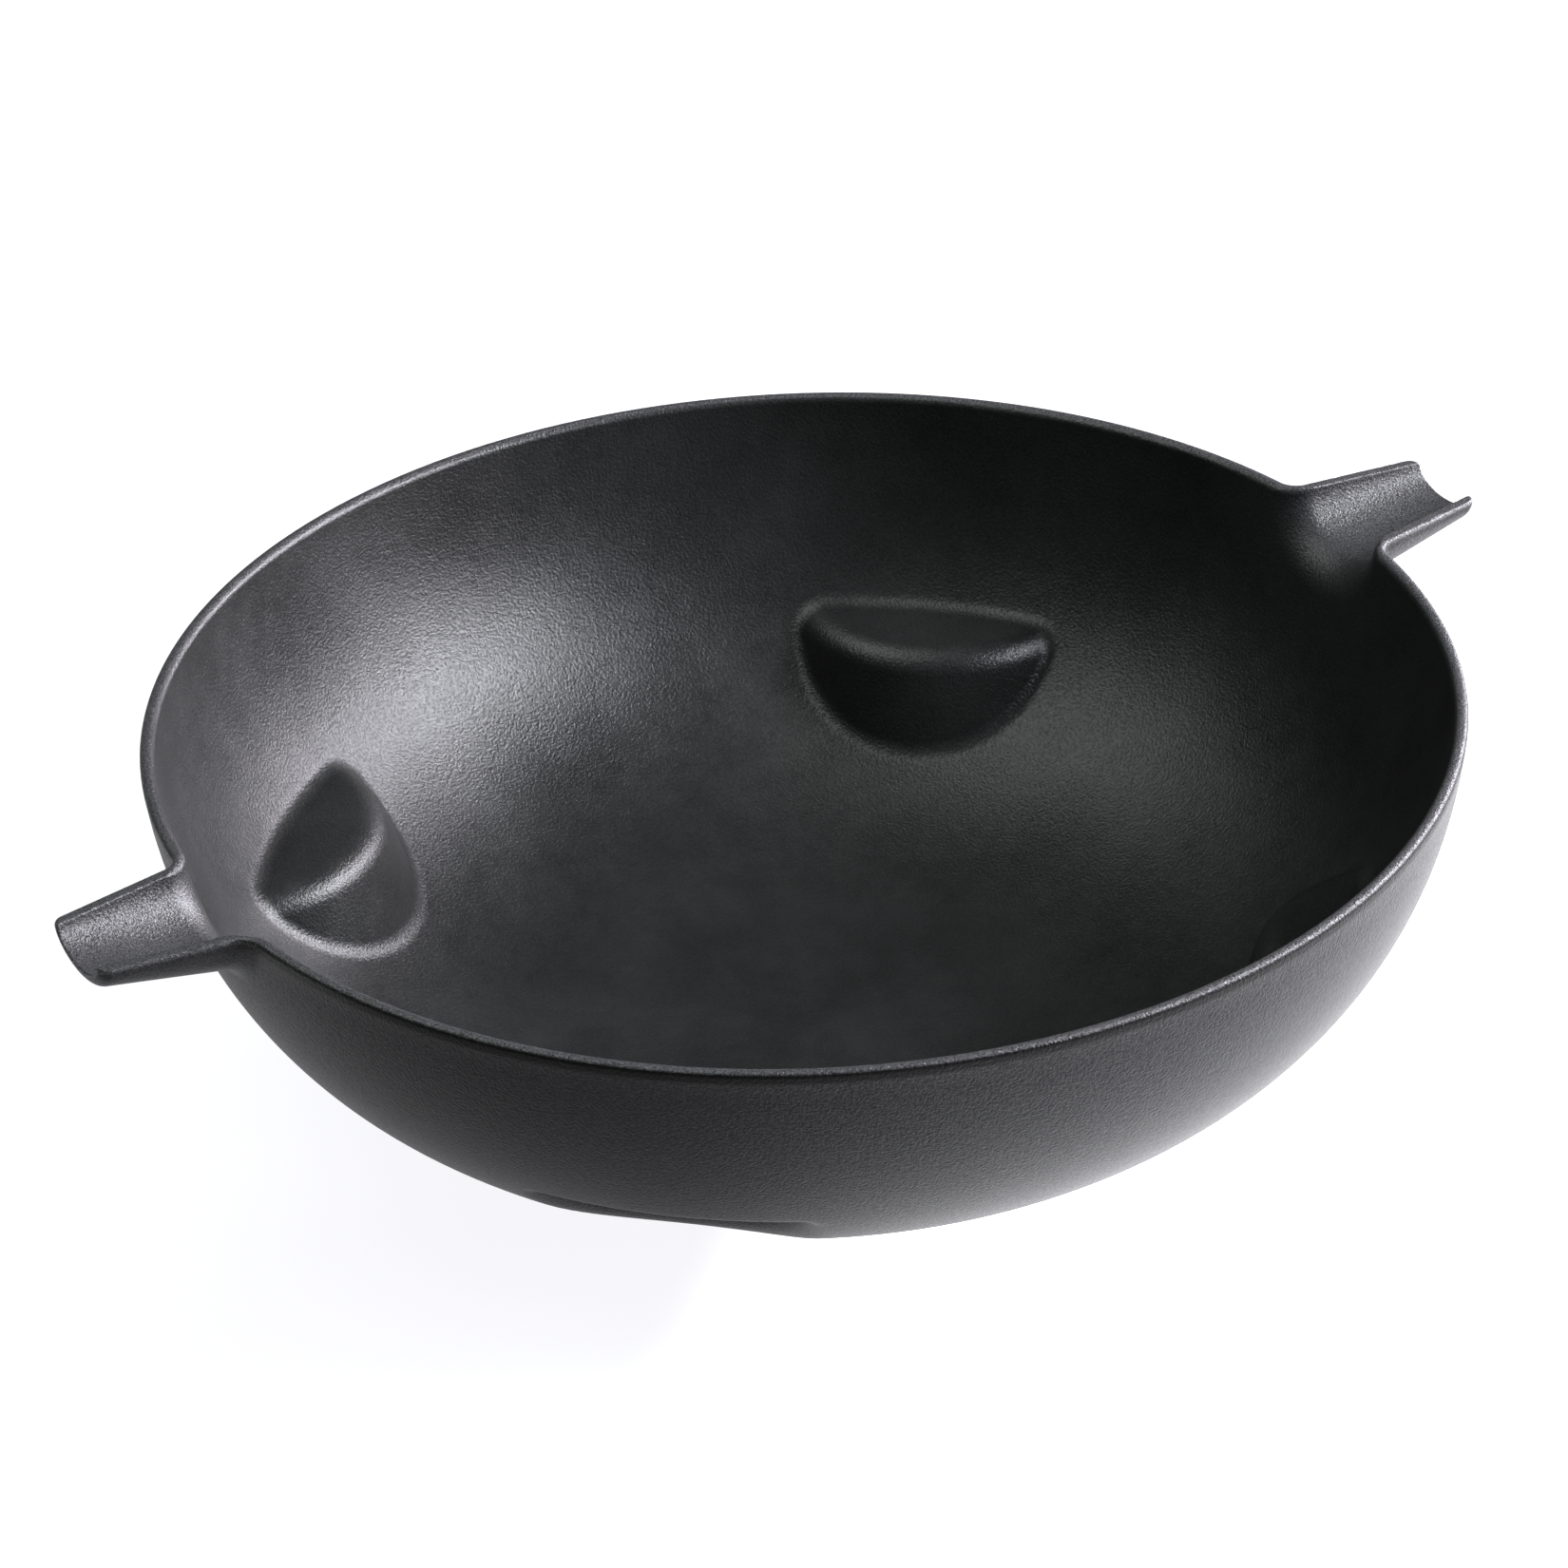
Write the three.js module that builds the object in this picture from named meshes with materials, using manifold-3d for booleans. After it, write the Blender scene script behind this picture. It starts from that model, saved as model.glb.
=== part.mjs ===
// A cast-iron grill wok: a deep round bowl, two open trough handles that also pour, and four
// ledges moulded into the wall, under which the ring of a grill grate takes the wok's weight.
// Millimetres, +Z up, the origin at the middle of the base, the handles along X.
// The real wok is one casting. Its regions are separate solids here, parted by a fine seam.
import * as THREE from "three";
import { mergeVertices, toCreasedNormals } from "three/addons/utils/BufferGeometryUtils.js";
import Module from "manifold-3d";

const { degToRad } = THREE.MathUtils;

// Bowl
const RIM_RADIUS = 180; // outer edge of the rim
const BOWL_HEIGHT = 108; // base to rim
const BASE_RADIUS = 45; // flat face that the wok stands on
const WALL = 4; // thickness of the casting
const RIM_ROUND = 2; // rounding of the rim's outer edge
const RIM_EDGE = 1; // rounding of the rim's inner edge
const RIM_LEAN = degToRad(4.9); // lean of the wall at the rim
const SIDE_PULL = 81.5; // how far the wall's curve keeps the lean of the rim
const BASE_PULL = 59.7; // how far the wall's curve keeps level outside the base

// Ledges, placed evenly between the handles
const LEDGE_NAMES = ["back_right", "back_left", "front_left", "front_right"];
const LEDGE_DROP = 59; // rim to the top of the shelf
const LEDGE_REACH = 29.7; // how far the shelf stands into the bowl
const LEDGE_RADIUS = 47.5; // bow of the shelf's front
const LEDGE_ROUND = 9; // rounding of the shelf's front edge
const LEDGE_DRAFT = degToRad(16.8); // slope of the ledge's front
const POCKET_ROUND = 5; // fillet between the pocket's ceiling and its side

// Handles
const HANDLE_LENGTH = 37; // rim to tip
const TIP_HALF_WIDTH = 15.2; // outside, at the tip
const TIP_DEPTH = 9.7; // rim plane to underside, at the tip
const HANDLE_TAPER = degToRad(9); // widening of each side towards the bowl
const FLOOR_SLOPE = degToRad(12); // fall of the floor towards the bowl
const HANDLE_WALL = 3.6;
const TIP_ROUND = 3; // rounding of the tip's outer edges
const ROOT_BEND = 4; // fillet between the handle's outside and the bowl

// Seam between two regions of the casting
const SEAM = 0.3;

// Finish
const IRON_COLOUR = 0x242426;
const IRON_ROUGHNESS = 0.55;
const IRON_METALNESS = 0.3;

// Fineness of the facets
const BOWL_SIDES = 72;
const LEDGE_SIDES = 48;
const TROUGH_SIDES = 28;
const WALL_STEPS = 12;
const ROUND_STEPS = 3;
const BEND_STEPS = 5;
const CREASE = degToRad(25);

const wasm = await Module();
wasm.setup();

// A closed geometry as a solid that can be joined and cut
function solid(geometry) {
  geometry.deleteAttribute("normal");
  geometry.deleteAttribute("uv");
  const merged = mergeVertices(geometry);
  const vertProperties = new Float32Array(merged.attributes.position.array);
  const triVerts = new Uint32Array(merged.index.array);
  return new wasm.Manifold(new wasm.Mesh({ numProp: 3, vertProperties, triVerts }));
}

// A finished solid as a geometry
function geometryOf(shape) {
  const { vertProperties, triVerts } = shape.getMesh();
  const geometry = new THREE.BufferGeometry();
  geometry.setAttribute("position", new THREE.BufferAttribute(vertProperties, 3));
  geometry.setIndex(new THREE.BufferAttribute(triVerts, 1));
  return toCreasedNormals(geometry, CREASE);
}

// A named mesh, turned about the bowl's axis
function casting(name, geometry, turn = 0) {
  const iron = new THREE.MeshStandardMaterial({
    color: IRON_COLOUR,
    roughness: IRON_ROUGHNESS,
    metalness: IRON_METALNESS,
  });
  const mesh = new THREE.Mesh(geometry, iron);
  mesh.name = name;
  mesh.rotation.z = turn;
  return mesh;
}

// A profile of (radius, height) points, turned about the Z axis
function turned(profile, sides) {
  return new THREE.LatheGeometry(profile, sides).rotateX(Math.PI / 2);
}

// Points of an arc about (radius, height), both ends included
function arcPoints(radius, height, bend, from, to, steps) {
  return new THREE.EllipseCurve(radius, height, bend, bend, from, to).getPoints(steps);
}

// Bowl: its outer wall as one curve from the edge of the base up to the rim
const wallCurve = new THREE.CubicBezierCurve(
  new THREE.Vector2(BASE_RADIUS, 0),
  new THREE.Vector2(BASE_RADIUS + BASE_PULL, 0),
  new THREE.Vector2(
    RIM_RADIUS - SIDE_PULL * Math.sin(RIM_LEAN),
    BOWL_HEIGHT - SIDE_PULL * Math.cos(RIM_LEAN),
  ),
  new THREE.Vector2(RIM_RADIUS, BOWL_HEIGHT),
);

// The wall's line, set in from its outer face
function wallPoints(inset) {
  const points = [];
  for (let step = 0; step <= WALL_STEPS; step++) {
    const at = step / WALL_STEPS;
    const point = wallCurve.getPoint(at);
    const along = wallCurve.getTangent(at);
    points.push(new THREE.Vector2(point.x - along.y * inset, point.y + along.x * inset));
  }
  return points;
}

// Radius of the wall's line, set in from its outer face, at a height
function wallRadius(height, inset) {
  const points = wallPoints(inset);
  const above = points.findIndex((point) => point.y > height);
  const [low, high] = [points[above - 1], points[above]];
  return low.x + ((high.x - low.x) * (height - low.y)) / (high.y - low.y);
}

// Everything inside the bowl's outer face, grown by a gap
function envelope(gap) {
  const profile = [
    new THREE.Vector2(0, -gap),
    ...wallPoints(-gap),
    new THREE.Vector2(RIM_RADIUS + gap, BOWL_HEIGHT + gap),
    new THREE.Vector2(0, BOWL_HEIGHT + gap),
  ];
  return solid(turned(profile, BOWL_SIDES));
}

// The bowl's shell, still whole. The arcs of the rim's edges run on smoothly from the leaning wall.
function shell() {
  const slant = Math.tan(RIM_LEAN);
  const across = 1 / Math.cos(RIM_LEAN);
  const outerBend = RIM_RADIUS - RIM_ROUND * (across + slant);
  const innerBend = RIM_RADIUS - WALL * across + RIM_EDGE * (across - slant);
  const profile = [
    new THREE.Vector2(0, 0),
    ...wallPoints(0).slice(0, -1),
    ...arcPoints(outerBend, BOWL_HEIGHT - RIM_ROUND, RIM_ROUND, -RIM_LEAN, Math.PI / 2, ROUND_STEPS),
    ...arcPoints(innerBend, BOWL_HEIGHT - RIM_EDGE, RIM_EDGE, Math.PI / 2, Math.PI - RIM_LEAN, ROUND_STEPS),
    ...wallPoints(WALL).slice(0, -1).reverse(),
    new THREE.Vector2(0, WALL),
  ];
  return solid(turned(profile, BOWL_SIDES));
}

// Ledges: each is turned about an upright axis just outside the wall
const shelfHeight = BOWL_HEIGHT - LEDGE_DROP;
const ledgeAxis = wallRadius(shelfHeight, WALL) - LEDGE_REACH + LEDGE_RADIUS;
const ledgeTurns = LEDGE_NAMES.map((name, index) => ((index + 0.5) * 2 * Math.PI) / LEDGE_NAMES.length);

// A round block with a sloped side and a rounded top edge, at a turn about the bowl's axis
function ledgeBlock(top, radius, round, turn = 0) {
  const level = top - round;
  const bendRadius = radius - round;
  const footRadius = bendRadius + round / Math.cos(LEDGE_DRAFT) + level * Math.tan(LEDGE_DRAFT);
  const profile = [
    new THREE.Vector2(0, 0),
    new THREE.Vector2(footRadius, 0),
    ...arcPoints(bendRadius, level, round, LEDGE_DRAFT, Math.PI / 2, ROUND_STEPS),
    new THREE.Vector2(0, top),
  ];
  return solid(turned(profile, LEDGE_SIDES).translate(ledgeAxis, 0, 0).rotateZ(turn));
}

// A ledge at the right-hand side, flush with the bowl's outer face and hollow from below
function ledge() {
  const block = ledgeBlock(shelfHeight, LEDGE_RADIUS, LEDGE_ROUND);
  const pocket = ledgeBlock(shelfHeight - WALL, LEDGE_RADIUS - WALL, POCKET_ROUND);
  return block.intersect(envelope(0)).subtract(pocket);
}

// The space that a ledge takes up in the bowl's wall, with its seam
function ledgeWindow(turn) {
  return ledgeBlock(shelfHeight + SEAM, LEDGE_RADIUS + SEAM, LEDGE_ROUND + SEAM, turn);
}

// Handles: an open trough of half-elliptic section that opens into the bowl
const tip = RIM_RADIUS + HANDLE_LENGTH;
const bendCentre = RIM_RADIUS + ROOT_BEND;
const rootStart = RIM_RADIUS - 2 * (WALL + ROOT_BEND);
const handleTurns = { handle_right: 0, handle_left: Math.PI };

// How far an arc of this bend has left its tangent at a distance along it
function arcRise(distance, bend) {
  const along = Math.min(Math.max(distance, 0), bend);
  return bend - Math.sqrt(bend * bend - along * along);
}

// Distances along the handle at which an arc of this bend turns evenly towards its end
function arcStations(start, bend) {
  const steps = Array.from({ length: BEND_STEPS + 1 }, (_, step) => step / BEND_STEPS);
  return steps.map((step) => start + bend * Math.sin((step * Math.PI) / 2));
}

// An elliptic bar along +X, its axis in the rim plane, swept through the stations
function troughBar(stations, spread, turn = 0) {
  const rows = stations.length - 1;
  const geometry = new THREE.CylinderGeometry(1, 1, 1, TROUGH_SIDES, rows);
  const place = geometry.attributes.position;
  for (let index = 0; index < place.count; index++) {
    const along = stations[Math.round((0.5 - place.getY(index)) * rows)];
    const halfWidth = TIP_HALF_WIDTH + (tip - along) * Math.tan(HANDLE_TAPER) + spread(along);
    const depth = TIP_DEPTH + (tip - along) * Math.tan(FLOOR_SLOPE) + spread(along);
    const across = place.getX(index) * halfWidth;
    const height = BOWL_HEIGHT + place.getZ(index) * depth;
    place.setXYZ(index, along, across, height);
  }
  return solid(geometry.rotateZ(turn));
}

function handleBody() {
  const rootArc = arcStations(0, ROOT_BEND).map((along) => bendCentre - along);
  const stations = [rootStart, ...rootArc.reverse(), ...arcStations(tip - TIP_ROUND, TIP_ROUND)];
  const spread = (along) =>
    arcRise(bendCentre - along, ROOT_BEND) - arcRise(along - tip + TIP_ROUND, TIP_ROUND);
  return troughBar(stations, spread);
}

function channel(turn = 0) {
  const bend = ROOT_BEND + WALL;
  const rootArc = arcStations(0, bend).map((along) => bendCentre - along);
  const stations = [rootStart, ...rootArc.reverse(), tip + WALL];
  return troughBar(stations, (along) => arcRise(bendCentre - along, bend) - HANDLE_WALL, turn);
}

function handle() {
  const belowRim = new THREE.BoxGeometry(2 * tip, 2 * tip, BOWL_HEIGHT);
  const halfBar = handleBody().intersect(solid(belowRim.translate(0, 0, BOWL_HEIGHT / 2)));
  return halfBar.subtract(channel()).subtract(envelope(SEAM));
}

// The bowl with its windows for the ledges and its mouths towards the handles
function bowl() {
  let shape = shell();
  for (const turn of ledgeTurns) {
    shape = shape.subtract(ledgeWindow(turn));
  }
  for (const turn of Object.values(handleTurns)) {
    shape = shape.subtract(channel(turn));
  }
  return shape;
}

const wok = new THREE.Group();
wok.add(casting("bowl", geometryOf(bowl())));

const handleGeometry = geometryOf(handle());
for (const [name, turn] of Object.entries(handleTurns)) {
  wok.add(casting(name, handleGeometry, turn));
}

const ledgeGeometry = geometryOf(ledge());
LEDGE_NAMES.forEach((name, index) => {
  wok.add(casting(`ledge_${name}`, ledgeGeometry, ledgeTurns[index]));
});

export default wok;
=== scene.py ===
import math

import bpy
import numpy as np
from mathutils import Matrix, Vector


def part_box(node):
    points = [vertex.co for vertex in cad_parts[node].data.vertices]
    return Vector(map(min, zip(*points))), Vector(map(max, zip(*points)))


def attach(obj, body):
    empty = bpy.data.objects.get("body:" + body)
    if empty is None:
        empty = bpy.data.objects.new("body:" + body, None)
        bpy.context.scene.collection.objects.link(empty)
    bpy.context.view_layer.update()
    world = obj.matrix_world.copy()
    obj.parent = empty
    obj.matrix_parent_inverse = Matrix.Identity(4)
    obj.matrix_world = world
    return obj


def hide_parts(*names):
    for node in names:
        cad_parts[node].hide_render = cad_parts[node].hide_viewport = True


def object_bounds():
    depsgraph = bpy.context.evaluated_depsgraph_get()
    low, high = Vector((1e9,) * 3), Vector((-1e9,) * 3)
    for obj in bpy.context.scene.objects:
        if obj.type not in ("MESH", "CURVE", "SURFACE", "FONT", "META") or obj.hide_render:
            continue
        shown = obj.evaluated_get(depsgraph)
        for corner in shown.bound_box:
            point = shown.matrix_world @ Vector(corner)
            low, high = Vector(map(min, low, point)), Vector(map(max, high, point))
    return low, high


# The looks of a cast-iron grill wok. The real wok is one casting, so its whole skin is worked out at once, as
# the zero level of a distance that rounds every edge and corner, and then shared out among the named pieces.

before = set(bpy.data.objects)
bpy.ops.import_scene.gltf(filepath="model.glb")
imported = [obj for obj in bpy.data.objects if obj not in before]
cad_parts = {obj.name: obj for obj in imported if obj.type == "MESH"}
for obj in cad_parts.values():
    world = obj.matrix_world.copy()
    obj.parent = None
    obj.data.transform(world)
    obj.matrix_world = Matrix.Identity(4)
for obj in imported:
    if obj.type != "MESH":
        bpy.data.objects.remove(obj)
cad_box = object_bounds()

# Sizes of the casting, in millimetres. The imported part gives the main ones.
MM = 0.001
HEIGHT = cad_box[1].z / MM
TIP = cad_box[1].x / MM
RIM_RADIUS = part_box("bowl")[1][1] / MM
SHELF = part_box("ledge_back_right")[1][2] / MM
BASE_RADIUS = 45
WALL = 4
RIM_LEAN = math.radians(4.9)
SIDE_PULL = 81.5
BASE_PULL = 59.7
LEDGE_REACH = 29.7
LEDGE_RADIUS = 47.5
LEDGE_DRAFT = math.radians(16.8)
LEDGE_TURN = math.radians(45)
TIP_HALF_WIDTH = 15.2
TIP_DEPTH = 9.7
HANDLE_TAPER = math.radians(9)
FLOOR_SLOPE = math.radians(12)
HANDLE_WALL = 3.6

# How far the line of the outer wall runs on past the rim and past the axis, and how many steps it has
MARGIN = 8
WALL_STEPS = 600

# Radii of the casting's edges and corners, in millimetres
RIM_ROUND = 1.6
HANDLE_ROUND = 1
EDGE_ROUND = 2
CHANNEL_EDGE = 0.5
TIP_ROUND = 3
ROOT_FILLET = 4
MOUTH_ROUND = 8
SHELF_ROUND = 9
SHELF_FILLET = 2.4
POCKET_ROUND = 5
POCKET_EDGE = 4

# The iron's colours, and the share of its own colour that the outside has
DARK_IRON = (0.0045, 0.0047, 0.0045, 1)
PALE_IRON = (0.0085, 0.0088, 0.0085, 1)
# Painted shade: the dark colour of the band just under the rim's outer edge
RIM_SHADE_IRON = (0.003, 0.003, 0.003, 1)
# The outside's darker colour is partly the raw as-cast outside and partly painted shade
OUTER_IRON_AND_SHADE = (0.003, 0.003, 0.0042, 1)
RAW_IRON = (0.03, 0.03, 0.0318, 1)
OUTER_TINT = 0.8

# Where the iron's zones fade in: millimetres from the rim's radius or height, or the normal's upward part
HANDLE_FADE = (-12, 10)
SIDE_FADE = (-1.5, -0.7)
TOP_FADE = (-0.7, -0.2)
# The band of painted shade under the rim's outer edge
RIM_SHADE_FADE = (-3.8, -2.6)
OUTSIDE_FADE = (0.05, -0.15)

# The iron's unevenness: cells to the metre and detail of each noise
BLOTCH = (22, 5)
MOTTLE = (160, 3)
GRAIN = (1200, 2)
SPECKLE = (1800, 2)
SAND = (2100, 2)
NOISE_ROUGHNESS = 0.6

# The stretches over which single noises, a sum of two noises and the clouds of the shine have their effect
SAND_RANGE = (0.3, 0.7)
GRAIN_RANGE = (0.35, 0.65)
SUM_RANGE = (0.7, 1.3)
CLOUD_RANGE = (0.65, 1.15)

# The iron's roughness and shine
INNER_ROUGHNESS = (0.33, 0.41)
RAW_ROUGHNESS = 0.46
OUTER_ROUGHNESS = 0.42
INNER_SHINE = (0.14, 0.36)
SAND_SHINE = (0.05, 0.64)
# The outside's duller shine is partly the raw as-cast outside and partly painted shade
OUTER_SHINE_AND_SHADE = (0.08, 0.15)
# Painted shade: the dull shine of the band under the rim's outer edge
RIM_SHADE_SHINE = 0.06

# The iron's relief: how strongly the grain and the speckle show, and their heights in millimetres
INNER_GRAIN = 0.28
EDGE_GRAIN = 0.5
HANDLE_GRAIN = 0.2
OUTER_GRAIN = 0.5
INNER_SPECKLE = 0.15
RAW_SPECKLE = 0.8
OUTER_SPECKLE = 0.8
GRAIN_HEIGHT = 0.8
SPECKLE_HEIGHT = 0.3

# The studio: its lamps, its floor and how the floor glows
LAMP_DISTANCE = 1.3
COOL = (0.92, 0.93, 1)
LAVENDER = (0.96, 0.91, 1)
GREENISH = (0.96, 1, 0.98)
SKY = (0.9, 0.95, 1, 1)
SKY_STRENGTH = 0.12
FLOOR_SIZE = 120
PAPER_COLOUR = (0.6, 0.6, 0.6, 1)
PAPER_ROUGHNESS = 0.9
PAPER_WHITE = (0.97, 0.97, 1, 1)
GLOW = 1.18
# The stronger glow on the lamps' side is a painted pool of light on the floor
LIT_GLOW = 5
GLOW_SHARE = 0.8
LIT_SIDE = -56
LIT_RANGE = (0.1, 1)

# The bowl's four quarters: the signs of X and Y there, and the pieces that lie in them
QUARTERS = [
    (1, 1, "handle_right", "ledge_back_right"),
    (-1, 1, "handle_left", "ledge_back_left"),
    (-1, -1, "handle_left", "ledge_front_left"),
    (1, -1, "handle_right", "ledge_front_right"),
]


def outer_wall():
    """The bowl's outer wall from above the rim to past the axis, as rows of (way, radius, height, slope)."""
    lean = np.array([math.sin(RIM_LEAN), math.cos(RIM_LEAN)])
    rim = np.array([RIM_RADIUS, HEIGHT])
    corners = [rim, rim - SIDE_PULL * lean, [BASE_RADIUS + BASE_PULL, 0], [BASE_RADIUS, 0]]
    t = np.linspace(0, 1, WALL_STEPS)[:, None]
    weights = np.hstack([(1 - t) ** 3, 3 * t * (1 - t) ** 2, 3 * t**2 * (1 - t), t**3])
    line = np.vstack([rim + MARGIN * lean, weights @ np.array(corners), [-MARGIN, 0]])
    step = np.diff(line, axis=0)
    way = np.concatenate([[0], np.cumsum(np.hypot(*step.T))]) - MARGIN
    slope = np.arctan2(-step[:, 1], -step[:, 0])
    slope = np.interp(way, (way[1:] + way[:-1]) / 2, slope)
    slope[:2] = math.pi / 2 - RIM_LEAN
    slope[-2:] = 0
    return way, line[:, 0], line[:, 1], slope


WAY, WALL_RADIUS, WALL_HEIGHT, WALL_SLOPE = outer_wall()
WALL_BEND = -np.gradient(WALL_SLOPE, WAY)
AXIS_WAY = WAY[-1] - MARGIN


def section(way, depth):
    """Radius and height of a place so far down the outer wall and so deep in from it."""
    slope = np.interp(way, WAY, WALL_SLOPE)
    radius = np.interp(way, WAY, WALL_RADIUS) - depth * np.sin(slope)
    height = np.interp(way, WAY, WALL_HEIGHT) + depth * np.cos(slope)
    return radius, height


def ledge_axis():
    """Radius at which the upright axis of a ledge stands."""
    radius, height = section(WAY, WALL)
    return np.interp(SHELF, height[::-1], radius[::-1]) - LEDGE_REACH + LEDGE_RADIUS


LEDGE_AXIS = ledge_axis()


def meet(a, b, rounding, lean=0):
    """Distance from what lies in both of two solids, their shared edge rounded off.

    Lean is the cosine of the angle between the normals of the two faces.
    """
    a, b = a + rounding, b + rounding
    corner = np.sqrt(np.maximum(a * a + b * b - 2 * lean * a * b, 0) / (1 - lean * lean))
    at_corner = (a > lean * b) & (b > lean * a)
    return np.where(at_corner, corner, np.maximum(a, b)) - rounding


def join(a, b, rounding):
    """Distance from two solids that grow together with a fillet."""
    return -meet(-a, -b, rounding)


def ledge_block(x, y, height, inset, rounding):
    """Distance from the round block of a ledge, or from its pocket when set in."""
    apart = np.hypot(x - LEDGE_AXIS * math.cos(LEDGE_TURN), y - LEDGE_AXIS * math.sin(LEDGE_TURN))
    top = SHELF - inset
    bend_radius = LEDGE_RADIUS - inset - rounding
    rise = height - top + rounding
    front = (apart - bend_radius) * math.cos(LEDGE_DRAFT) + rise * math.sin(LEDGE_DRAFT)
    return meet(front - rounding, height - top, rounding, math.sin(LEDGE_DRAFT))


def trough(x, y, height, inset):
    """Distance from the tapered half-elliptic bar of a handle, or from its channel when set in."""
    half_width = TIP_HALF_WIDTH + (TIP - x) * math.tan(HANDLE_TAPER) - inset
    deep = TIP_DEPTH + (TIP - x) * math.tan(FLOOR_SLOPE) - inset
    across, down = y / half_width, (height - HEIGHT) / deep
    share = np.hypot(across, down)
    steepness = np.hypot(across / half_width, down / deep)
    least_steepness = 1e-6
    return share * (share - 1) / np.maximum(steepness, least_steepness)


def casting(turn, way, depth):
    """Distance from the casting, negative in the iron, at a turn about the axis and a place in section."""
    radius, height = section(way, depth)
    x = np.abs(radius * np.cos(turn))
    y = np.abs(radius * np.sin(turn))
    inner = join(depth - WALL, ledge_block(x, y, height, 0, SHELF_ROUND), SHELF_FILLET)
    inner = meet(inner, -trough(x, y, height, HANDLE_WALL), MOUTH_ROUND)
    outer = meet(-depth, -ledge_block(x, y, height, WALL, POCKET_ROUND), POCKET_EDGE)
    handle = meet(trough(x, y, height, 0), x - TIP, TIP_ROUND)
    top_round = np.interp(depth, [-ROOT_FILLET, 0], [HANDLE_ROUND, RIM_ROUND])
    outer = meet(join(outer, handle, ROOT_FILLET), height - HEIGHT, top_round)
    return meet(inner, outer, np.interp(depth, [-ROOT_FILLET, 0], [CHANNEL_EDGE, EDGE_ROUND]))


def steps(*stretches):
    """Grid lines through stretches of (start, end, spacing)."""
    lines = [np.linspace(a, b, max(1, round((b - a) / gap)), endpoint=False) for a, b, gap in stretches]
    return np.append(np.concatenate(lines), stretches[-1][1])


def grid():
    """Grid lines of one quarter of the bowl: turns, ways and depths, fine where the casting is shaped."""
    handle_start, handle_end = 2.6, 10.6
    ledge_start, ledge_end = 26.5, 63.5
    past_quarter = 0.9
    turns = steps(
        (-0.2, handle_start, 0.4),
        (handle_start, handle_end, 0.25),
        (handle_end, ledge_start, 1.7),
        (ledge_start, ledge_end, 0.7),
        (ledge_end, 90 + past_quarter, 2),
    )
    turns = np.radians(turns)
    turns[-2:] = math.pi / 2 + np.array([-1, 1]) * math.radians(past_quarter)

    rim_end, handle_foot, shelf_way = 2.6, 30, 50
    floor_width = 108
    ledge_foot = AXIS_WAY - floor_width
    past_axis = 2
    ways = steps(
        (-5, rim_end, 0.4),
        (rim_end, handle_foot, 0.9),
        (handle_foot, shelf_way, 2.5),
        (shelf_way, ledge_foot, 1.6),
        (ledge_foot, AXIS_WAY - past_axis, 5),
    )
    ways = np.append(ways, AXIS_WAY + past_axis)

    tip = RIM_RADIUS - TIP
    beyond_wall = steps((tip - 1.5, tip + 4, 0.6), (tip + 4, -7, 2), (-7, -0.25, 0.6))
    within_wall = steps((0.25, 10, 0.6), (10, LEDGE_REACH + 2, 1.3))
    return turns, ways, np.concatenate([beyond_wall, within_wall])


def crossings(axis, lines, values):
    """Grid edges along an axis that cross the skin, and the places where they do."""
    count = len(lines[axis])
    start = values.take(range(count - 1), axis)
    end = values.take(range(1, count), axis)
    edges = np.argwhere((start < 0) != (end < 0))
    start, end = start[tuple(edges.T)], end[tuple(edges.T)]
    places = np.stack([line[index] for line, index in zip(lines, edges.T)], 1)
    places[:, axis] += np.diff(lines[axis])[edges[:, axis]] * start / (start - end)
    return edges, places, start < 0


def skin():
    """Places and four-sided faces of one quarter's skin: a point in each grid cell that the skin crosses."""
    lines = grid()
    values = casting(lines[0][:, None, None], lines[1][:, None], lines[2])
    shape = np.array(values.shape)
    total = np.zeros((*(shape - 1), 3))
    count = np.zeros(shape - 1, int)
    rings = []
    for axis in range(3):
        edges, places, from_iron = crossings(axis, lines, values)
        ring = []
        for back in ((1, 1), (0, 1), (0, 0), (1, 0)):
            cells = edges.copy()
            cells[:, (axis + 1) % 3] -= back[0]
            cells[:, (axis + 2) % 3] -= back[1]
            within = np.all((cells >= 0) & (cells < shape - 1), axis=1)
            np.add.at(total, tuple(cells[within].T), places[within])
            np.add.at(count, tuple(cells[within].T), 1)
            ring.append(np.where(within[:, None], cells, -1))
        ring = np.stack(ring, 1)
        ring[~from_iron] = ring[~from_iron, ::-1]
        rings.append(ring[np.all(ring >= 0, axis=(1, 2))])
    number = np.cumsum(count > 0).reshape(count.shape) - 1
    rings = np.concatenate(rings)
    return total[count > 0] / count[count > 0, None], number[tuple(np.moveaxis(rings, 2, 0))]


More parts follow.
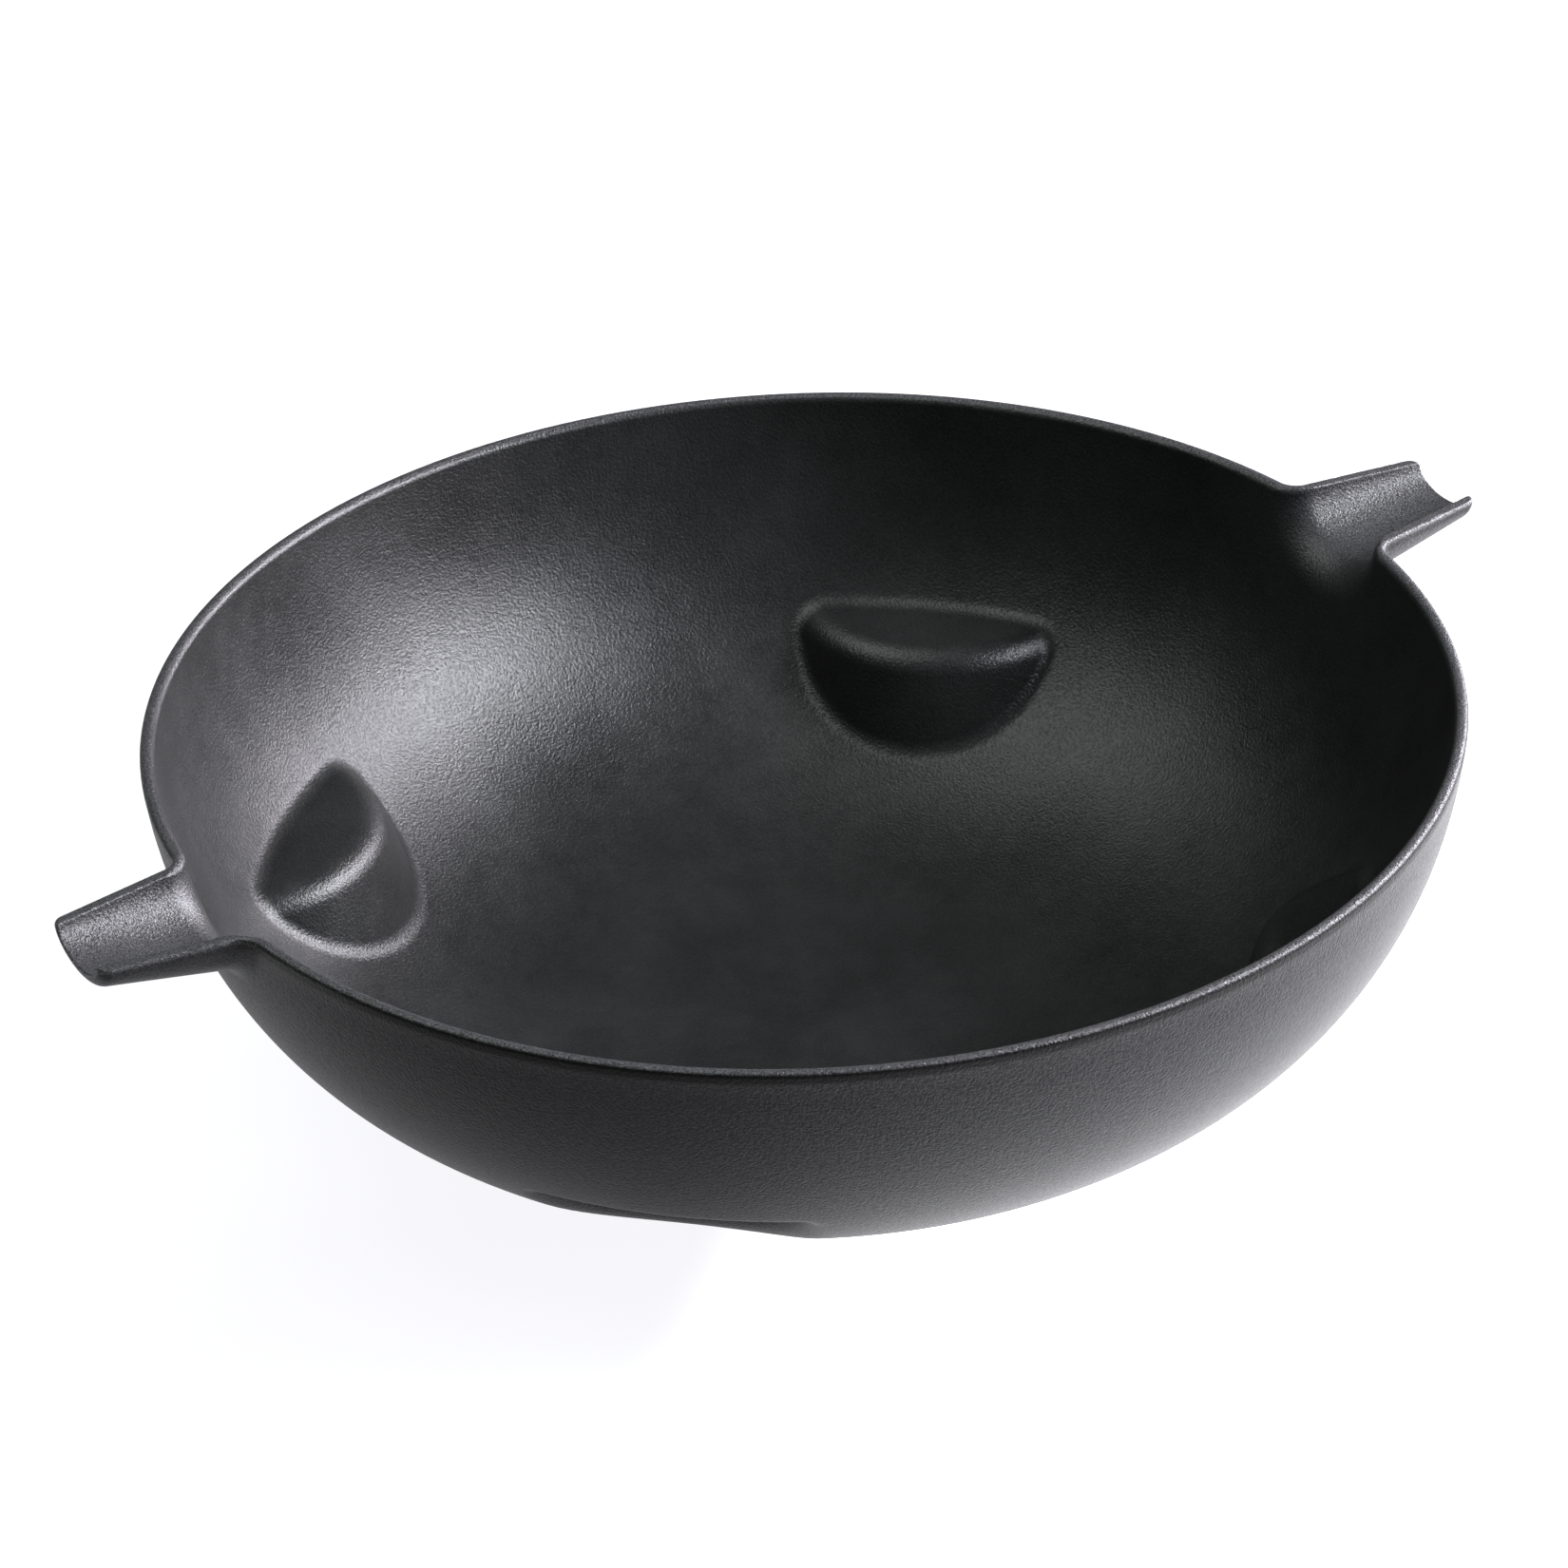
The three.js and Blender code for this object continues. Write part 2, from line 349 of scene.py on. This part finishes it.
def settle(places):
    """Moves places onto the skin, and gives their points and outward normals."""
    nudge = 0.01
    rounds = 4
    least_slope = 0.1
    for _ in range(rounds):
        turn, way, depth = places.T
        radius, height = section(way, depth)
        along = 1 - depth * np.interp(way, WAY, WALL_BEND)
        stretch = np.stack([np.maximum(radius, nudge), along, np.ones_like(way)], 1)
        shifts = nudge / stretch[:, :, None] * np.eye(3)
        slope = [casting(*(places + shifts[:, i]).T) - casting(*(places - shifts[:, i]).T) for i in range(3)]
        slope = np.stack(slope, 1) / (2 * nudge)
        size = np.maximum((slope**2).sum(1, keepdims=True), least_slope)
        places = places - casting(turn, way, depth)[:, None] * slope / size / stretch
    turn, way, depth = places.T
    radius, height = section(way, depth)
    lean = np.interp(way, WAY, WALL_SLOPE)
    outward = -np.sin(lean) * slope[:, 2] - np.cos(lean) * slope[:, 1]
    upward = np.cos(lean) * slope[:, 2] - np.sin(lean) * slope[:, 1]
    points = np.stack([radius * np.cos(turn), radius * np.sin(turn), height], 1)
    normals = np.stack(
        [
            outward * np.cos(turn) - slope[:, 0] * np.sin(turn),
            outward * np.sin(turn) + slope[:, 0] * np.cos(turn),
            upward,
        ],
        1,
    )
    return places, points, normals / np.linalg.norm(normals, axis=1, keepdims=True)


def regions(places, faces):
    """For each face 0 on the bowl, 1 on a handle and 2 on a ledge."""
    turn, way, depth = places[faces].mean(1).T
    radius, height = section(way, depth)
    block = ledge_block(radius * np.cos(turn), radius * np.sin(turn), height, 0, SHELF_ROUND)
    past_wall = 0.15
    on_handle = depth < -past_wall
    on_ledge = block < np.maximum(depth - WALL, 0)
    return np.where(on_ledge, 2, np.where(on_handle, 1, 0))


def whole_skin():
    """The skin of the whole casting: points, normals, faces and the name of each face's piece."""
    places, faces = skin()
    places, points, normals = settle(places)
    region = regions(places, faces)
    all_points, all_normals, all_faces, names = [], [], [], []
    for index, (sign_x, sign_y, handle, ledge) in enumerate(QUARTERS):
        signs = np.array([sign_x, sign_y, 1])
        all_points.append(points * signs)
        all_normals.append(normals * signs)
        ring = faces if sign_x * sign_y > 0 else faces[:, ::-1]
        all_faces.append(ring + index * len(points))
        names.append(np.array(["bowl", handle, ledge])[region])
    all_points = np.concatenate(all_points)
    _, first, merged = np.unique(all_points.round(3), axis=0, return_index=True, return_inverse=True)
    all_faces = merged.ravel()[np.concatenate(all_faces)]
    return all_points[first], np.concatenate(all_normals)[first], all_faces, np.concatenate(names)


def piece(node, points, normals, faces, iron):
    """One named piece of the casting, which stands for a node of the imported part."""
    used, corners = np.unique(faces, return_inverse=True)
    rings = [list(dict.fromkeys(ring)) for ring in corners.reshape(-1, 4).tolist()]
    mesh = bpy.data.meshes.new(f"{node}_casting")
    mesh.from_pydata((points[used] * MM).tolist(), [], [ring for ring in rings if len(ring) > 2])
    mesh.polygons.foreach_set("use_smooth", [True] * len(mesh.polygons))
    mesh.normals_split_custom_set_from_vertices(normals[used].tolist())
    mesh.materials.append(iron)
    made = bpy.data.objects.new(f"{node}_casting", mesh)
    bpy.context.scene.collection.objects.link(made)
    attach(made, "root")
    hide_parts(node)
    return made


def add(tree, kind, *sources, operation=None, **inputs):
    """A shader node.

    Sources fill its inputs in order and the others by name. Each is a value or another node's output.
    """
    made = tree.nodes.new(kind)
    if operation:
        made.operation = operation
    for key, value in [*enumerate(sources), *inputs.items()]:
        socket = made.inputs[key if isinstance(key, int) else key.replace("_", " ")]
        if isinstance(value, bpy.types.NodeSocket):
            tree.links.new(value, socket)
        else:
            socket.default_value = value
    return made


def noise(tree, place, cells, detail):
    """A noise with so many cells to the metre, which wavers about a half."""
    made = add(
        tree,
        "ShaderNodeTexNoise",
        Vector=place,
        Scale=cells,
        Detail=detail,
        Roughness=NOISE_ROUGHNESS,
    )
    return made.outputs["Fac"]


def between(tree, value, low, high, start, end, manner="LINEAR"):
    """Runs from start to end while a value runs from low to high."""
    made = add(tree, "ShaderNodeMapRange", value, low, high, start, end)
    made.interpolation_type = manner
    return made.outputs["Result"]


def fade(tree, length, origin, stretch, most=1):
    """A share that grows from 0 to its most while a length runs through a stretch, in millimetres."""
    start, end = stretch
    return between(tree, length, (origin + start) * MM, (origin + end) * MM, 0, most)


def blend(tree, share, first, second):
    """A value that runs from a first one to a second one with a share."""
    return between(tree, share, 0, 1, first, second)


def weighted(tree, value, weight, base):
    """A value times a weight, added to a base."""
    made = add(tree, "ShaderNodeMath", value, weight, base, operation="MULTIPLY_ADD")
    return made.outputs["Value"]


def mix(tree, share, first, second):
    """A colour that runs from a first one to a second one with a share."""
    made = add(tree, "ShaderNodeMixRGB", share, first, second)
    return made.outputs["Color"]


def unevenness(tree, place):
    """The noises that make the iron uneven, from broad blotches to single grains of sand."""
    return {
        "blotch": noise(tree, place, *BLOTCH),
        "mottle": noise(tree, place, *MOTTLE),
        "grain": noise(tree, place, *GRAIN),
        "speckle": noise(tree, place, *SPECKLE),
        "sand": noise(tree, place, *SAND),
    }


def zones(tree, place):
    """Shares, from 0 to 1, of the handles, of raw iron, of the rim's outer edge and of the wok's outside.

    Raw are the handles and the flat top of the rim. The rim's outer edge is where a band of painted shade
    lies.
    """
    split = add(tree, "ShaderNodeSeparateXYZ", place).outputs
    from_middle = add(tree, "ShaderNodeMath", split["X"], operation="ABSOLUTE").outputs["Value"]
    handle = fade(tree, from_middle, RIM_RADIUS, HANDLE_FADE)
    top = fade(tree, split["Z"], HEIGHT, TOP_FADE)
    raw = add(tree, "ShaderNodeMath", handle, top, operation="MAXIMUM").outputs["Value"]

    level = add(tree, "ShaderNodeVectorMath", place, (1, 1, 0), operation="MULTIPLY").outputs["Vector"]
    radius = add(tree, "ShaderNodeVectorMath", level, operation="LENGTH").outputs["Value"]
    rim_side = fade(tree, radius, RIM_RADIUS, SIDE_FADE)
    # The band just under the rim's outer edge, which carries painted shade
    edge = fade(tree, split["Z"], HEIGHT, RIM_SHADE_FADE, rim_side)

    facing = add(tree, "ShaderNodeNewGeometry").outputs["Normal"]
    upward = add(tree, "ShaderNodeSeparateXYZ", facing).outputs["Z"]
    outside = between(tree, upward, *OUTSIDE_FADE, 0, 1)
    return {"handle": handle, "raw": raw, "edge": edge, "outside": outside}


def iron_colour(tree, uneven, zone):
    """Nearly black, blotched and speckled. The outside is darker, partly with painted shade, and the rim's
    edge with painted shade; raw iron is sandy.
    """
    blotchy = weighted(tree, uneven["speckle"], 1, uneven["blotch"])
    colour = mix(tree, between(tree, blotchy, *SUM_RANGE, 0, 1), DARK_IRON, PALE_IRON)
    # The outside is darkened, partly as the raw outside and partly as painted shade
    colour = mix(tree, blend(tree, zone["outside"], 0, OUTER_TINT), colour, OUTER_IRON_AND_SHADE)
    # Painted shade: the band under the rim's outer edge is darkened
    colour = mix(tree, zone["edge"], colour, RIM_SHADE_IRON)
    sandy = mix(tree, between(tree, uneven["sand"], *SAND_RANGE, 0, 1), DARK_IRON, RAW_IRON)
    return mix(tree, zone["raw"], colour, sandy)


def iron_roughness(tree, uneven, zone):
    """Patchy inside, even and higher on raw iron and outside."""
    patchy = weighted(tree, uneven["mottle"], 1, uneven["blotch"])
    rough = between(tree, patchy, *SUM_RANGE, *INNER_ROUGHNESS)
    rough = blend(tree, zone["raw"], rough, RAW_ROUGHNESS)
    return blend(tree, zone["outside"], rough, OUTER_ROUGHNESS)


def iron_shine(tree, uneven, zone):
    """Cloudy inside, sparkling on raw iron, grainy and duller outside, partly as painted shade, dullest on
    the rim's edge as painted shade.
    """
    cloudy = weighted(tree, uneven["mottle"], 0.2, uneven["grain"])
    cloudy = weighted(tree, uneven["blotch"], 0.6, cloudy)
    inner = between(tree, cloudy, *CLOUD_RANGE, *INNER_SHINE)
    # Painted shade: the band under the rim's outer edge is dulled
    inner = blend(tree, zone["edge"], inner, RIM_SHADE_SHINE)
    sparkle = between(tree, uneven["sand"], *SAND_RANGE, *SAND_SHINE)
    inner = blend(tree, zone["raw"], inner, sparkle)
    outer = between(tree, uneven["grain"], *GRAIN_RANGE, *OUTER_SHINE_AND_SHADE)
    # Painted shade: the band under the rim's outer edge is dulled outside too
    outer = blend(tree, zone["edge"], outer, RIM_SHADE_SHINE)
    # The outside is dulled, partly as the raw outside and partly as painted shade
    return blend(tree, zone["outside"], inner, outer)


def iron_normal(tree, uneven, zone):
    """The relief that the sand of the mould leaves: coarse grain with fine speckle on it."""
    coarse = blend(tree, zone["edge"], INNER_GRAIN, EDGE_GRAIN)
    coarse = blend(tree, zone["handle"], coarse, HANDLE_GRAIN)
    coarse = blend(tree, zone["outside"], coarse, OUTER_GRAIN)
    fine = blend(tree, zone["raw"], INNER_SPECKLE, RAW_SPECKLE)
    fine = blend(tree, zone["outside"], fine, OUTER_SPECKLE)
    relief = add(
        tree,
        "ShaderNodeBump",
        Strength=coarse,
        Distance=GRAIN_HEIGHT * MM,
        Height=uneven["grain"],
    )
    relief = add(
        tree,
        "ShaderNodeBump",
        Strength=fine,
        Distance=SPECKLE_HEIGHT * MM,
        Height=uneven["speckle"],
        Normal=relief.outputs["Normal"],
    )
    return relief.outputs["Normal"]


def cast_iron():
    """Black cast iron with the grain of the sand mould, blotched and a little uneven in its shine."""
    material = bpy.data.materials.new("cast_iron")
    material.use_nodes = True
    tree = material.node_tree
    place = add(tree, "ShaderNodeTexCoord").outputs["Object"]
    uneven = unevenness(tree, place)
    zone = zones(tree, place)
    looks = {
        "Base Color": iron_colour,
        "Roughness": iron_roughness,
        "Specular IOR Level": iron_shine,
        "Normal": iron_normal,
    }
    shader = tree.nodes["Principled BSDF"]
    for name, look in looks.items():
        tree.links.new(look(tree, uneven, zone), shader.inputs[name])
    return material


def direction(azimuth, elevation):
    """Unit vector at an angle about the axis and an angle above the horizon, in degrees."""
    around, above = math.radians(azimuth), math.radians(elevation)
    return Vector((math.cos(around) * math.cos(above), math.sin(around) * math.cos(above), math.sin(above)))


def softbox(name, azimuth, elevation, width, height, power, colour):
    """A rectangular lamp that faces the middle of the rim."""
    lamp = bpy.data.lights.new(name, "AREA")
    lamp.shape = "RECTANGLE"
    lamp.size = width
    lamp.size_y = height
    lamp.energy = power
    lamp.color = colour
    made = bpy.data.objects.new(name, lamp)
    towards = direction(azimuth, elevation)
    made.location = Vector((0, 0, HEIGHT * MM)) + towards * LAMP_DISTANCE
    made.rotation_mode = "QUATERNION"
    made.rotation_quaternion = towards.to_track_quat("Z", "Y")
    bpy.context.scene.collection.objects.link(made)


def paper_glow(tree):
    """The glow of the paper, stronger on the side where the lamps stand, as a painted pool of light there."""
    place = add(tree, "ShaderNodeTexCoord").outputs["Object"]
    outward = add(tree, "ShaderNodeVectorMath", place, operation="NORMALIZE").outputs["Vector"]
    lit = add(tree, "ShaderNodeVectorMath", outward, direction(LIT_SIDE, 0), operation="DOT_PRODUCT")
    strength = between(tree, lit.outputs["Value"], *LIT_RANGE, GLOW, LIT_GLOW, "SMOOTHSTEP")
    return add(tree, "ShaderNodeEmission", Color=PAPER_WHITE, Strength=strength).outputs["Emission"]


def paper():
    """White paper that glows to the eye and in the iron's reflections, and takes the wok's shadow."""
    material = bpy.data.materials.new("studio_floor")
    material.use_nodes = True
    tree = material.node_tree
    sheet = tree.nodes["Principled BSDF"]
    sheet.inputs["Base Color"].default_value = PAPER_COLOUR
    sheet.inputs["Roughness"].default_value = PAPER_ROUGHNESS
    path = add(tree, "ShaderNodeLightPath").outputs
    seen = weighted(tree, path["Is Camera Ray"], 1, path["Is Glossy Ray"])
    seen = weighted(tree, path["Is Transmission Ray"], 1, seen)
    share = blend(tree, seen, 0, GLOW_SHARE)
    both = add(tree, "ShaderNodeMixShader", share, sheet.outputs["BSDF"], paper_glow(tree))
    tree.links.new(both.outputs["Shader"], tree.nodes["Material Output"].inputs["Surface"])
    return material


def studio():
    """Pale floor and soft light from the right."""
    bpy.ops.mesh.primitive_plane_add(size=FLOOR_SIZE)
    floor = bpy.context.object
    floor.name = "studio_floor"
    floor.data.materials.append(paper())

    world = bpy.data.worlds.new("studio")
    world.use_nodes = True
    sky = world.node_tree.nodes["Background"]
    sky.inputs["Color"].default_value = SKY
    sky.inputs["Strength"].default_value = SKY_STRENGTH
    bpy.context.scene.world = world

    # Name, azimuth, elevation, width, height, power and colour
    softbox("key_left", -40, 35.5, 0.5, 0.4, 37, COOL)
    softbox("key_right", -27, 30, 0.5, 0.4, 36, COOL)
    softbox("low", -28, 8, 1.0, 0.35, 24, LAVENDER)
    softbox("right", 0, 25, 0.4, 0.5, 15.5, LAVENDER)
    softbox("low_right", 8, 12, 0.4, 0.4, 23, LAVENDER)
    softbox("top", 140, 60, 1.0, 0.8, 14.5, GREENISH)


def photo_camera():
    """The camera at the photograph's angle, as fitted to the rim, the ledges and the tips of the handles."""
    heading = math.radians(-30.14)
    elevation = math.radians(30.69)
    roll = math.radians(-2.49)
    distance = 1.4935
    aim_left, aim_down = 0.00396, 0.01552
    turn = Matrix.Rotation(heading, 3, "Z")
    back = turn @ Vector((0, -math.cos(elevation), math.sin(elevation)))
    right = turn @ Vector((1, 0, 0))
    up = back.cross(right)
    ahead = (-back - aim_left * right - aim_down * up).normalized()
    level_right = ahead.cross(Vector((0, 0, 1))).normalized()
    level_up = level_right.cross(ahead)
    right = math.cos(roll) * level_right + math.sin(roll) * level_up
    up = math.cos(roll) * level_up - math.sin(roll) * level_right

    lens = bpy.data.cameras.new("photo_camera")
    lens.sensor_width = 36
    lens.lens = 126.29
    camera = bpy.data.objects.new("photo_camera", lens)
    place = Matrix((right, up, -ahead)).transposed().to_4x4()
    place.translation = Vector((0, 0, HEIGHT * MM)) + distance * back
    camera.matrix_world = place
    bpy.context.scene.collection.objects.link(camera)
    bpy.context.scene.camera = camera


photo_camera()
studio()
iron = cast_iron()
skin_points, skin_normals, skin_faces, skin_names = whole_skin()
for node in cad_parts:
    piece(node, skin_points, skin_normals, skin_faces[skin_names == node], iron)

bpy.context.scene.view_settings.view_transform = "Standard"
